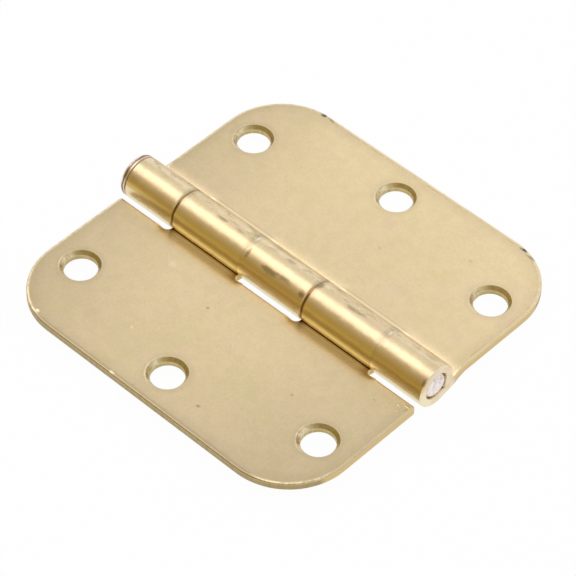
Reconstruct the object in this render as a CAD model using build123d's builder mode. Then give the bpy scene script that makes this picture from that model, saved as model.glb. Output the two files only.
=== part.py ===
from build123d import *
from math import acos, asin, atan2, cos, degrees, hypot, radians, sin
import os

# Round corner door hinge, 3-1/2 in by 3-1/2 in with 5/8 in corners: two folded leaves and a loose pin.
# Millimetres, +Z up. The pin runs along X, with its button head at -X.
# The hinge lies open flat with the countersunk faces up. The leaf with three knuckles is on the +Y side,
# the leaf with two knuckles on the -Y side, and the barrel's lowest line is at Z = 0.
# X = 0 is midway between the pin head's face and the far end of the barrel. Y = 0 is on the pin's axis.

# Sheet and leaves
SHEET = 2.0
HINGE_LENGTH = 88.9
LEAF_WIDTH = 44.45
LEAF_INSET = 0.25
CORNER_RADIUS = 15.875
HINGE_CORNER_RADIUS = 0.8
FRONT_ROUND = 0.4
BACK_CHAMFER = 0.3

# Pin
PIN_DIAMETER = 6.35
PIN_CLEARANCE = 0.07
HEAD_DIAMETER = 10.4
HEAD_THICKNESS = 1.6
HEAD_ROUND = 0.8
HEAD_GAP = 0.15
TIP_CHAMFER = 0.6
TIP_RECESS = 0.3

# Knuckles, along the barrel
BARREL_PROUD = 0.1
MIDDLE_KNUCKLE = 18.7
INNER_KNUCKLE = 20.4
KNUCKLE_GAP = 0.15
CURL_END_GAP = 0.15
CURL_END_LEAN = 22

# Offset bend, which leaves a gap between the closed leaves
CLOSED_GAP = 2.6
BEND_START = 9.6
BEND_RADIUS = 12.0
BEND_FADE = 1.8

# Cut-outs that clear the other leaf's knuckles
CUTOUT_CLEARANCE = 1.25
CUTOUT_CORNER = 1.2
CUTOUT_MARGIN = 0.2

# Screw holes: two near the barrel, and one between them that is further out
HOLE_DIAMETER = 7.7
COUNTERSINK_DIAMETER = 9.2
COUNTERSINK_ANGLE = 82
HOLE_END_MARGIN = 8.65
NEAR_HOLE_MARGIN = 17.25
FAR_HOLE_MARGIN = 8.45

# Least turn between two faces at a rim, in degrees, and a length too short to matter
SHARP_ANGLE = 60
TINY = 0.001

# Worked out from the values above
pin_radius = PIN_DIAMETER / 2
bore_radius = pin_radius + PIN_CLEARANCE
barrel_radius = bore_radius + SHEET
curl_radius = bore_radius + SHEET / 2
axis_height = barrel_radius
leaf_top = axis_height - CLOSED_GAP / 2
leaf_back = leaf_top - SHEET
leaf_middle = leaf_top - SHEET / 2
cutout_edge = barrel_radius + CUTOUT_CLEARANCE
taper_edge = cutout_edge - CUTOUT_CORNER
border_edge = taper_edge - CUTOUT_MARGIN
bend_overrun = CUTOUT_CORNER + CUTOUT_MARGIN
three_knuckle_length = HINGE_LENGTH - 2 * LEAF_INSET
barrel_length = HINGE_LENGTH + 2 * BARREL_PROUD
barrel_end = barrel_length / 2
barrel_middle = (HEAD_GAP + HEAD_THICKNESS) / 2
head_face = barrel_middle - barrel_end - HEAD_GAP - HEAD_THICKNESS
tip_face = barrel_middle + barrel_end - TIP_RECESS
hole_spacing = HINGE_LENGTH - 2 * HOLE_END_MARGIN
near_hole_reach = LEAF_WIDTH - NEAR_HOLE_MARGIN
far_hole_reach = LEAF_WIDTH - FAR_HOLE_MARGIN

# The bend's circle lies below the leaf. The slope touches it from above and the curl's circle from below.
bend_drop = axis_height - leaf_middle + BEND_RADIUS
bend_height = leaf_middle - BEND_RADIUS
circle_distance = hypot(BEND_START, bend_drop)
slope = asin((BEND_RADIUS + curl_radius) / circle_distance) - atan2(bend_drop, BEND_START)
slope_degrees = degrees(slope)
curl_start = slope_degrees - 90

# The curl's end leans towards the slope that it is rolled from, with a hairline gap left between them.
outer_curl_end = curl_start + degrees(acos((bore_radius - CURL_END_GAP) / barrel_radius))
inner_curl_end = outer_curl_end - CURL_END_LEAN
outer_curl_sweep = curl_start + 360 - outer_curl_end
inner_curl_sweep = curl_start + 360 - inner_curl_end

# Ends of the knuckles, measured along X from the barrel's middle
middle_end = MIDDLE_KNUCKLE / 2
inner_start = middle_end + KNUCKLE_GAP
inner_end = inner_start + INNER_KNUCKLE
outer_start = inner_end + KNUCKLE_GAP
three_knuckles = [(-barrel_end, -outer_start), (-middle_end, middle_end), (outer_start, barrel_end)]
two_knuckles = [(-inner_end, -inner_start), (inner_start, inner_end)]

back_bend = BEND_RADIUS - SHEET / 2
top_bend = BEND_RADIUS + SHEET / 2
back_turn = BEND_START - back_bend * sin(slope)
top_turn = BEND_START - top_bend * sin(slope)


def on_bend(radius):
    """Return the point where the slope leaves the bend, at this radius about the bend's centre."""
    return (BEND_START - radius * sin(slope), bend_height + radius * cos(slope))


def on_curl(radius):
    """Return the point where the slope joins the curl, at this radius about the pin's axis."""
    return (radius * sin(slope), axis_height - radius * cos(slope))


def on_slope(reach, bend, curl):
    """Return the point at this distance along Y on the line between the bend's and the curl's circles."""
    start = on_curl(curl)
    end = on_bend(bend)
    share = (reach - start[0]) / (end[0] - start[0])
    return (reach, start[1] + share * (end[1] - start[1]))


def on_rim(radius, angle):
    """Return the point at this radius and angle about the pin's axis."""
    return (radius * cos(radians(angle)), axis_height + radius * sin(radians(angle)))


def rolled_section():
    """Return the sheet's section from the bend's start, down the slope and round the pin."""
    bend_centre = (BEND_START, bend_height)
    pin_centre = (0, axis_height)
    with BuildSketch() as section:
        with BuildLine():
            CenterArc(bend_centre, back_bend, 90, slope_degrees)
            Line(on_bend(back_bend), on_curl(barrel_radius))
            CenterArc(pin_centre, barrel_radius, curl_start, -outer_curl_sweep)
            Line(on_rim(barrel_radius, outer_curl_end), on_rim(bore_radius, inner_curl_end))
            CenterArc(pin_centre, bore_radius, inner_curl_end, inner_curl_sweep)
            Line(on_curl(bore_radius), on_bend(top_bend))
            CenterArc(bend_centre, top_bend, 90 + slope_degrees, -slope_degrees)
            Line((BEND_START, leaf_top), (BEND_START, leaf_back))
        make_face()
    return section.sketch


def bend_section():
    """Return the section of the bend alone."""
    bend_centre = (BEND_START, bend_height)
    with BuildSketch() as section:
        with BuildLine():
            CenterArc(bend_centre, back_bend, 90, slope_degrees)
            Line(on_bend(back_bend), on_bend(top_bend))
            CenterArc(bend_centre, top_bend, 90 + slope_degrees, -slope_degrees)
            Line((BEND_START, leaf_top), (BEND_START, leaf_back))
        make_face()
    return section.sketch


def polygon_section(*corners):
    """Return the section with these corners."""
    with BuildSketch() as section:
        with BuildLine():
            Polyline(*corners, close=True)
        make_face()
    return section.sketch


def fade(bent, flat, start, fade_start, fade_end):
    """Return sheet of the bent section from one X to the next, and on from there to the flat section."""
    with BuildPart() as stretch:
        with BuildSketch(Plane.YZ.offset(start)):
            add(bent)
        extrude(amount=fade_start - start)
        with BuildSketch(Plane.YZ.offset(fade_start)):
            add(bent)
        with BuildSketch(Plane.YZ.offset(fade_end)):
            add(flat)
        loft(ruled=True)
    return stretch.part


def gaps_between(knuckles):
    """Return the stretches of the barrel that this leaf's knuckles leave free."""
    starts = [-barrel_end] + [end for start, end in knuckles]
    ends = [start for start, end in knuckles] + [barrel_end]
    return [(start, end) for start, end in zip(starts, ends) if end > start]


def rolled_sheet(knuckles):
    """Return the flat sheet with its bent and rolled knuckles, before it is cut to its outline."""
    rolled = rolled_section()
    bent_bend = bend_section()
    bent_slope = polygon_section(
        on_bend(back_bend),
        on_slope(border_edge, back_bend, barrel_radius),
        on_slope(border_edge, top_bend, bore_radius),
        on_bend(top_bend),
    )
    flat_bend = polygon_section(
        (BEND_START, leaf_back), (back_turn, leaf_back), (top_turn, leaf_top), (BEND_START, leaf_top)
    )
    flat_slope = polygon_section(
        (back_turn, leaf_back), (border_edge, leaf_back), (border_edge, leaf_top), (top_turn, leaf_top)
    )
    with BuildPart() as sheet:
        with BuildSketch(Plane.YZ.offset(-barrel_end)):
            with Locations(((BEND_START + LEAF_WIDTH) / 2, leaf_middle)):
                Rectangle(LEAF_WIDTH - BEND_START, SHEET)
        extrude(amount=barrel_length)
        for start, end in knuckles:
            with BuildSketch(Plane.YZ.offset(start)):
                add(rolled)
            extrude(amount=end - start)
        for start, end in gaps_between(knuckles):
            flat_start = start
            flat_end = end
            if start > -barrel_end:
                flat_start = start + bend_overrun + BEND_FADE
                for bent, flat in (bent_bend, flat_bend), (bent_slope, flat_slope):
                    add(fade(bent, flat, start, start + bend_overrun, flat_start))
            if end < barrel_end:
                flat_end = end - bend_overrun - BEND_FADE
                for bent, flat in (bent_bend, flat_bend), (bent_slope, flat_slope):
                    add(fade(bent, flat, end, end - bend_overrun, flat_end))
            with BuildSketch(Plane.YZ.offset(flat_start)):
                with Locations(((border_edge + BEND_START) / 2, leaf_middle)):
                    Rectangle(BEND_START - border_edge, SHEET)
            extrude(amount=flat_end - flat_start)
    return sheet.part


def leaf_outline(knuckles, length, hinge_side_length):
    """Return the leaf's outline seen from above, with its knuckles and the cut-outs between them."""
    with BuildSketch() as outline:
        with Locations((0, LEAF_WIDTH / 2)):
            Rectangle(length, LEAF_WIDTH)
        fillet(outline.vertices().group_by(Axis.Y)[-1], CORNER_RADIUS)
        with BuildLine():
            Polyline(
                (length / 2, BEND_START),
                (hinge_side_length / 2, taper_edge),
                (hinge_side_length / 2, -barrel_radius),
                (-hinge_side_length / 2, -barrel_radius),
                (-hinge_side_length / 2, taper_edge),
                (-length / 2, BEND_START),
                close=True,
            )
        make_face()
        for start, end in gaps_between(knuckles):
            with BuildLine():
                Polyline(
                    (start, -barrel_radius),
                    (start, cutout_edge),
                    (end, cutout_edge),
                    (end, -barrel_radius),
                    close=True,
                )
            make_face(mode=Mode.SUBTRACT)
        corners = outline.vertices().filter_by_position(Axis.Y, cutout_edge, cutout_edge)
        fillet(corners.filter_by_position(Axis.X, -outer_start, outer_start), CUTOUT_CORNER)
        corners = outline.vertices().filter_by_position(Axis.Y, cutout_edge - TINY, cutout_edge + TINY)
        hinge_corners = corners.filter_by(lambda corner: abs(corner.X) > length / 2 - TINY)
        if hinge_corners:
            fillet(hinge_corners, HINGE_CORNER_RADIUS)
    return outline.sketch


def rims(shape, side):
    """Return the sharp edges round the faces of a half leaf that look up (side 1) or down (side -1).

    The edges of the face that the half is mirrored about are left out.
    """
    faces_at = {}
    edges_at = {}
    for face in shape.faces():
        for edge in face.edges():
            faces_at.setdefault(hash(edge), []).append(face)
            edges_at[hash(edge)] = edge
    found = ShapeList()
    for key, faces in faces_at.items():
        middle = edges_at[key].position_at(0.5)
        if len(faces) == 2 and middle.X < -TINY:
            normals = [face.normal_at(middle) for face in faces]
            sharp = normals[0].get_angle(normals[1]) > SHARP_ANGLE
            if sharp and any(side * normal.Z > cos(radians(SHARP_ANGLE)) for normal in normals):
                found.append(edges_at[key])
    return found


def is_knuckle_rim(edge):
    """Return whether the edge of a half leaf is the outer rim at an end of a knuckle."""
    on_barrel = edge.geom_type == GeomType.CIRCLE and abs(edge.radius - barrel_radius) < TINY
    return on_barrel and edge.position_at(0.5).X < -TINY


def is_finished(edge, hinge_side_length):
    """Return whether a rim of the leaf is rounded: all are, but the stretches that fade to a bend."""
    middle = edge.position_at(0.5)
    along_cutout = abs(middle.X) < hinge_side_length / 2 - FRONT_ROUND and middle.Y < cutout_edge + TINY
    flat = min(abs(middle.Z - leaf_top), abs(middle.Z - leaf_back)) < TINY
    return middle.Y > border_edge and (flat or not along_cutout)


def leaf(knuckles, length, hinge_side_length):
    """Return a leaf on the +Y side of the pin, with X measured from the barrel's middle.

    A leaf is alike on both sides of its middle, so one half gets its rims and is then mirrored.
    """
    with BuildPart() as sheet:
        add(rolled_sheet(knuckles))
        with BuildSketch():
            add(leaf_outline(knuckles, length, hinge_side_length))
        extrude(amount=2 * barrel_radius, mode=Mode.INTERSECT)
        split(bisect_by=Plane.YZ, keep=Keep.BOTTOM)

        knuckle_rims = sheet.edges().filter_by(is_knuckle_rim)
        back_rims = rims(sheet.part, -1).filter_by(lambda edge: is_finished(edge, hinge_side_length))
        chamfer(knuckle_rims + back_rims, BACK_CHAMFER)
        front_rims = rims(sheet.part, 1).filter_by(lambda edge: is_finished(edge, hinge_side_length))
        fillet(front_rims, FRONT_ROUND)
        mirror(about=Plane.YZ)

        with Locations(
            (-hole_spacing / 2, near_hole_reach, leaf_top),
            (hole_spacing / 2, near_hole_reach, leaf_top),
            (0, far_hole_reach, leaf_top),
        ):
            CounterSinkHole(HOLE_DIAMETER / 2, COUNTERSINK_DIAMETER / 2, counter_sink_angle=COUNTERSINK_ANGLE)
    return sheet.part


os.makedirs("parts", exist_ok=True)

with BuildPart() as leaf_three_knuckles:
    with Locations((barrel_middle, 0, 0)):
        add(leaf(three_knuckles, three_knuckle_length, barrel_length))

with BuildPart() as leaf_two_knuckles:
    with Locations((barrel_middle, 0, 0)):
        add(leaf(two_knuckles, HINGE_LENGTH, HINGE_LENGTH))
    mirror(about=Plane.XZ, mode=Mode.REPLACE)

with BuildPart() as hinge_pin:
    with BuildSketch(Plane.YZ.offset(head_face)):
        with Locations((0, axis_height)):
            Circle(HEAD_DIAMETER / 2)
    extrude(amount=HEAD_THICKNESS)
    with BuildSketch(Plane.YZ.offset(head_face)):
        with Locations((0, axis_height)):
            Circle(pin_radius)
    extrude(amount=tip_face - head_face)
    fillet(hinge_pin.edges().group_by(Axis.X)[0], HEAD_ROUND)
    chamfer(hinge_pin.edges().group_by(Axis.X)[-1], TIP_CHAMFER)

leaf_three_knuckles.part.label = "leaf_three_knuckles"
leaf_two_knuckles.part.label = "leaf_two_knuckles"
hinge_pin.part.label = "hinge_pin"

export_step(leaf_three_knuckles.part, "parts/leaf_three_knuckles.step")
export_step(leaf_two_knuckles.part, "parts/leaf_two_knuckles.step")
export_step(hinge_pin.part, "parts/hinge_pin.step")
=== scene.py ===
"""Looks of a round corner door hinge: satin brass plating on two folded leaves and a loose pin.

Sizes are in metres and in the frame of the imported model: the pin runs along X with its head at -X, the leaf
with three knuckles is at +Y, the leaf with two knuckles at -Y, and the countersunk faces look up. Places on
the hinge are counted in millimetres from the barrel's middle and the pin's axis.
"""
from __future__ import annotations

import logging
import math
from dataclasses import dataclass, field
from enum import Enum

import bmesh
import bpy
from mathutils import Matrix, Vector


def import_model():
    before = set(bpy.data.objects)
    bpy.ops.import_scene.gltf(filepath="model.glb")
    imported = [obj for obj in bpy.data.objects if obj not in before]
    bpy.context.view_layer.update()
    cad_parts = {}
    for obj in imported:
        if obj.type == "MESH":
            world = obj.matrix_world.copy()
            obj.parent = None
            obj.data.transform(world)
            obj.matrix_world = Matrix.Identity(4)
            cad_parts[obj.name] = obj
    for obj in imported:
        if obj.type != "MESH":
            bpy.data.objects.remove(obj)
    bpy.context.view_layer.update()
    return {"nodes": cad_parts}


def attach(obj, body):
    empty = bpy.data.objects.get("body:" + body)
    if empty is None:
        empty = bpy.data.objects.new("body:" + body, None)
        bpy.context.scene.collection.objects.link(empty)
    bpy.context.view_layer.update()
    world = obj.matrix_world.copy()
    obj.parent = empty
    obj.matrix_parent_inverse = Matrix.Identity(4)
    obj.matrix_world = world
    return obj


LOG = logging.getLogger("door_hinge")

MM = 0.001
IMAGE_SIZE_PX = 576
SENSOR_WIDTH_MM = 36.0

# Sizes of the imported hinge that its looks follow.
BARREL_MIDDLE = 0.875 * MM
AXIS_HEIGHT = 5.245 * MM
LEAF_TOP = 3.945 * MM
BARREL_RADIUS = 5.245 * MM
LEAF_REACH = 44.45 * MM
LEAF_CORNER = 15.875 * MM
CUT_OUT_REACH = 6.495 * MM
INNER_SEAM = 9.425 * MM
OUTER_SEAM = 29.975 * MM
COUNTERSINK_RADIUS = 4.6 * MM

RING_STEPS = 180
RING_SHARP_DEGREES = 30.0

Colour = tuple[float, float, float]
Point = tuple[float, float, float]
Pair = tuple[float, float]
# The corners of a closed section: places along the barrel and distances out from its axis, in millimetres.
Section = tuple[Pair, ...]
# Where an effect begins and where it is full.
Span = tuple[float, float]
# Where an effect begins and where it ends, and how far its two sides fade.
Band = tuple[float, float, float]
# The numbers of coarse and of fine clouds in a metre.
Scales = tuple[float, float]
# The number of clouds in a metre, and of the finer layers in them.
Noise = tuple[float, float]
Socket = bpy.types.NodeSocket


class Node(Enum):
    """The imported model's nodes, which are also its bodies."""

    LEAF_THREE = "leaf_three_knuckles"
    LEAF_TWO = "leaf_two_knuckles"
    PIN = "hinge_pin"


class Finish(Enum):
    """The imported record's material slots."""

    LEAF = "leaf_plating"
    PIN = "pin_plating"


class Graph:
    """A node tree with short calls for adding nodes and joining their sockets."""

    def __init__(self, tree: bpy.types.NodeTree) -> None:
        """Keep the tree.

        Args:
            tree: The node tree of a material, a world or a node group.
        """
        self.tree = tree

    def add(self, kind: str, **settings: object) -> bpy.types.Node:
        """Add a node.

        Args:
            kind: The node's type name without its ShaderNode prefix.
            settings: Values of the node's own properties.

        Returns:
            The new node.
        """
        node = self.tree.nodes.new("ShaderNode" + kind)
        for name, value in settings.items():
            setattr(node, name, value)
        return node

    def feed(self, node: bpy.types.Node, socket: str | int, source: object) -> None:
        """Link a socket to an output, or set it to a plain value.

        Args:
            node: The node whose input is fed.
            socket: The input's name or number.
            source: An output socket, a number, a vector or a colour.
        """
        target = node.inputs[socket]
        if isinstance(source, Socket):
            self.tree.links.new(source, target)
        elif isinstance(source, tuple) and len(source) == 3 and target.type == "RGBA":
            target.default_value = (*source, 1.0)
        else:
            target.default_value = source

    def math(self, operation: str, first: object, second: object = 0.5) -> Socket:
        """Return the result of a Math node.

        Args:
            operation: The Math node's operation.
            first: The first value or output.
            second: The second value or output, where the operation has one.

        Returns:
            The result's output.
        """
        node = self.add("Math", operation=operation)
        self.feed(node, 0, first)
        self.feed(node, 1, second)
        return node.outputs[0]

    def product(self, *factors: object) -> Socket:
        """Return the product of several values.

        Args:
            factors: Values or outputs, at least two.

        Returns:
            The product's output.
        """
        result = factors[0]
        for factor in factors[1:]:
            result = self.math("MULTIPLY", result, factor)
        return result

    def nearest(self, value: object, *places: float) -> Socket:
        """Return how far a value is from the nearest of several places.

        Args:
            value: The value or output that is measured.
            places: The places.

        Returns:
            The distance's output.
        """
        result = None
        for place in places:
            distance = self.math("ABSOLUTE", self.math("SUBTRACT", value, place))
            result = distance if result is None else self.math("MINIMUM", result, distance)
        return result

    def vector(self, operation: str, first: object, second: object) -> Socket:
        """Return the vector that a Vector Math node puts out.

        Args:
            operation: The node's operation.
            first: The first vector or output.
            second: The second vector or output.

        Returns:
            The vector's output.
        """
        node = self.add("VectorMath", operation=operation)
        self.feed(node, 0, first)
        self.feed(node, 1, second)
        return node.outputs["Vector"]

    def measure(self, operation: str, first: object, second: object = (0.0, 0.0, 0.0)) -> Socket:
        """Return the number that a Vector Math node puts out.

        Args:
            operation: LENGTH, DISTANCE or DOT_PRODUCT.
            first: The first vector or output.
            second: The second vector or output, where the operation has one.

        Returns:
            The number's output.
        """
        node = self.add("VectorMath", operation=operation)
        self.feed(node, 0, first)
        self.feed(node, 1, second)
        return node.outputs["Value"]

    def split(self, vector: Socket) -> tuple[Socket, Socket, Socket]:
        """Return the three parts of a vector.

        Args:
            vector: The vector's output.

        Returns:
            The outputs along X, Y and Z.
        """
        node = self.add("SeparateXYZ")
        self.feed(node, 0, vector)
        return node.outputs[0], node.outputs[1], node.outputs[2]

    def ramp(
        self, value: object, low: object, high: object, start: object = 0.0, end: object = 1.0
    ) -> Socket:
        """Return the value eased from start to end as it goes from low to high.

        Args:
            value: The value or output that is mapped.
            low: Where the result is start.
            high: Where the result is end.
            start: The result at low and before it.
            end: The result at high and past it.

        Returns:
            The eased value's output.
        """
        node = self.add("MapRange", interpolation_type="SMOOTHSTEP")
        for socket, source in enumerate((value, low, high, start, end)):
            self.feed(node, socket, source)
        return node.outputs[0]

    def blend(self, share: object, start: float, end: float) -> Socket:
        """Return a value that goes from start to end as a share goes from 0 to 1."""
        return self.ramp(share, 0.0, 1.0, start, end)

    def band(self, value: object, low: float, high: float, soft: float) -> Socket:
        """Return 1 between two limits and 0 beyond them.

        Args:
            value: The value or output that is tested.
            low: The lower limit.
            high: The upper limit.
            soft: How far the band's ends fade.

        Returns:
            The mask's output.
        """
        rise = self.ramp(value, low - soft, low + soft)
        fall = self.ramp(value, high - soft, high + soft, 1.0, 0.0)
        return self.math("MULTIPLY", rise, fall)

    def mix(self, share: object, first: object, second: object) -> Socket:
        """Return a mix of two colours.

        Args:
            share: How much of the second colour is used, from 0 to 1.
            first: The first colour or output.
            second: The second colour or output.

        Returns:
            The colour's output.
        """
        node = self.add("Mix", data_type="RGBA")
        self.feed(node, 0, share)
        self.feed(node, 6, first)
        self.feed(node, 7, second)
        return node.outputs[2]

    def scaled(self, colour: Socket, factor: Socket) -> Socket:
        """Return a colour made lighter or darker by a factor.

        Args:
            colour: The colour's output.
            factor: The factor's output.

        Returns:
            The new colour's output.
        """
        node = self.add("VectorMath", operation="SCALE")
        self.feed(node, 0, colour)
        self.feed(node, "Scale", factor)
        return node.outputs["Vector"]

    def noise(self, vector: Socket, scale: object, detail: float) -> Socket:
        """Return a cloudy noise about 0.5.

        Args:
            vector: The place.
            scale: The number of clouds in a metre.
            detail: How many finer layers are added.

        Returns:
            The noise's output.
        """
        node = self.add("TexNoise", noise_dimensions="3D")
        self.feed(node, "Vector", vector)
        self.feed(node, "Scale", scale)
        self.feed(node, "Detail", detail)
        return node.outputs[0]


def new_group(name: str, inputs: dict[str, str], output: str) -> tuple[Graph, dict[str, Socket], Socket]:
    """Start a shader node group with one output.

    Args:
        name: The group's name.
        inputs: The type of each named input socket.
        output: The name of the value that it puts out.

    Returns:
        The group's graph, its input node's outputs by name and its output node's input.
    """
    tree = bpy.data.node_groups.new(name, "ShaderNodeTree")
    for title, kind in inputs.items():
        tree.interface.new_socket(title, in_out="INPUT", socket_type="NodeSocket" + kind)
    tree.interface.new_socket(output, in_out="OUTPUT", socket_type="NodeSocketFloat")
    start = tree.nodes.new("NodeGroupInput")
    end = tree.nodes.new("NodeGroupOutput")
    return Graph(tree), {title: start.outputs[title] for title in inputs}, end.inputs[output]


@dataclass
class Effects:
    """The node groups that the finishes share."""

    coarse_layers: float = 3.0
    fine_layers: float = 2.0
    oval_stretch: Point = (0.45, 1.0, 1.0)
    oval_layers: float = 3.0
    oval_raggedness: float = 1.8
    oval_edge: Span = (1.25, 0.35)
    mottling: bpy.types.NodeTree = field(init=False)
    oval: bpy.types.NodeTree = field(init=False)
    rim: bpy.types.NodeTree = field(init=False)

    def __post_init__(self) -> None:
        """Build each group once."""
        self.mottling = self.build_mottling()
        self.oval = self.build_oval()
        self.rim = self.build_rim()

    def build_mottling(self) -> bpy.types.NodeTree:
        """Build the group that puts out a cloudy value about 0.5, coarse and fine together.

        Returns:
            The group.
        """
        inputs = {"Vector": "Vector", "Coarse": "Float", "Fine": "Float"}
        graph, given, result = new_group("cloudy mottling", inputs, "Value")
        coarse = graph.noise(given["Vector"], given["Coarse"], self.coarse_layers)
        fine = graph.noise(given["Vector"], given["Fine"], self.fine_layers)
        graph.tree.links.new(graph.math("MULTIPLY", graph.math("ADD", coarse, fine), 0.5), result)
        return graph.tree

    def build_oval(self) -> bpy.types.NodeTree:
        """Build the group that puts out a ragged oval mask about a centre.

        Returns:
            The group.
        """
        inputs = {"Vector": "Vector", "Centre": "Vector", "Reach": "Vector", "Grain": "Float"}
        graph, given, result = new_group("ragged oval", inputs, "Mask")
        offset = graph.vector("SUBTRACT", given["Vector"], given["Centre"])
        length = graph.measure("LENGTH", graph.vector("DIVIDE", offset, given["Reach"]))
        drawn_out = graph.vector("MULTIPLY", given["Vector"], self.oval_stretch)
        uneven = graph.math("SUBTRACT", graph.noise(drawn_out, given["Grain"], self.oval_layers), 0.5)
        ragged = graph.math("ADD", length, graph.math("MULTIPLY", uneven, self.oval_raggedness))
        graph.tree.links.new(graph.ramp(ragged, *self.oval_edge), result)
        return graph.tree

    def build_rim(self) -> bpy.types.NodeTree:
        """Build the group that puts out how far inside a leaf's round-cornered outline a place is.

        Returns:
            The group.
        """
        inputs = {"Vector": "Vector", "Half Length": "Float", "Reach": "Float", "Corner": "Float"}
        graph, given, result = new_group("distance from the rim", inputs, "Distance")
        along, across, _ = graph.split(given["Vector"])
        sides = []
        for value, reach in ((along, given["Half Length"]), (across, given["Reach"])):
            start = graph.math("SUBTRACT", reach, given["Corner"])
            sides.append(graph.math("SUBTRACT", graph.math("ABSOLUTE", value), start))
        beyond = [graph.math("MAXIMUM", side, 0.0) for side in sides]
        squares = [graph.math("MULTIPLY", side, side) for side in beyond]
        round_part = graph.math("SQRT", graph.math("ADD", *squares))
        straight_part = graph.math("MINIMUM", graph.math("MAXIMUM", *sides), 0.0)
        outside = graph.math("ADD", round_part, straight_part)
        graph.tree.links.new(graph.math("SUBTRACT", given["Corner"], outside), result)
        return graph.tree


@dataclass(frozen=True)
class Mark:
    """A smudge, speck or chip on the plating, as a ragged oval of another colour."""

    centre: Point
    reach: Point
    colour: Colour
    strength: float
    grain: float = 1400.0


class Skin:
    """A material in the making: its graph and the place on the hinge."""

    def __init__(self, name: str, effects: Effects) -> None:
        """Start the material.

        Args:
            name: The material's name.
            effects: The shared node groups.
        """
        self.material = bpy.data.materials.new(name)
        self.material.use_nodes = True
        self.material.node_tree.nodes.clear()
        self.graph = Graph(self.material.node_tree)
        self.effects = effects
        coordinates = self.graph.add("TexCoord")
        middle = (BARREL_MIDDLE, 0.0, AXIS_HEIGHT)
        self.place = self.graph.vector("SUBTRACT", coordinates.outputs["Object"], middle)
        self.along, self.across, self.height = self.graph.split(self.place)
        self.facing_up = self.graph.split(coordinates.outputs["Normal"])[2]

    def effect(self, group: bpy.types.NodeTree, **inputs: object) -> Socket:
        """Return what a shared group puts out at each place.

        Args:
            group: The shared group.
            inputs: Its inputs by name, with an underscore for a space.

        Returns:
            The group's output.
        """
        node = self.graph.add("Group", node_tree=group)
        self.graph.feed(node, "Vector", self.place)
        for name, value in inputs.items():
            self.graph.feed(node, name.replace("_", " "), value)
        return node.outputs[0]

    def clouds(self, coarse: float, fine: float) -> Socket:
        """Return the mottling about 0.5, from its numbers of coarse and of fine clouds in a metre."""
        return self.effect(self.effects.mottling, Coarse=coarse, Fine=fine)

    def marked(self, colour: Socket, marks: tuple[Mark, ...]) -> Socket:
        """Return the colour with marks laid over it.

        Args:
            colour: The colour under the marks.
            marks: The marks, the lowest first.

        Returns:
            The colour with its marks.
        """
        for mark in marks:
            mask = self.effect(self.effects.oval, Centre=mark.centre, Reach=mark.reach, Grain=mark.grain)
            colour = self.graph.mix(self.graph.math("MULTIPLY", mask, mark.strength), colour, mark.colour)
        return colour

    def finish(self, colour: Socket, roughness: Socket, height: Socket, depth: float) -> bpy.types.Material:
        """Close the material with its metal shader.

        Args:
            colour: The metal's colour.
            roughness: Its roughness.
            height: The height of its surface's unevenness, in metres over depth.
            depth: The depth of the unevenness.

        Returns:
            The material.
        """
        bump = self.graph.add("Bump")
        self.graph.feed(bump, "Strength", 1.0)
        self.graph.feed(bump, "Distance", depth)
        self.graph.feed(bump, "Height", height)
        shader = self.graph.add("BsdfPrincipled")
        self.graph.feed(shader, "Base Color", colour)
        self.graph.feed(shader, "Metallic", 1.0)
        self.graph.feed(shader, "Roughness", roughness)
        self.graph.feed(shader, "Normal", bump.outputs[0])
        output = self.graph.add("OutputMaterial")
        self.graph.feed(output, "Surface", shader.outputs[0])
        return self.material


@dataclass(frozen=True)
class Zones:
    """Where the parts of a leaf are, as values over its surface.

    Away is the distance across from the pin's axis. Barrel, back, steep and top are masks of the barrel, its
    back, the sheet's walls, and the leaf's faces off the barrel and the walls.
    """

    away: Socket
    barrel: Socket
    back: Socket
    steep: Socket
    top: Socket


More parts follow.
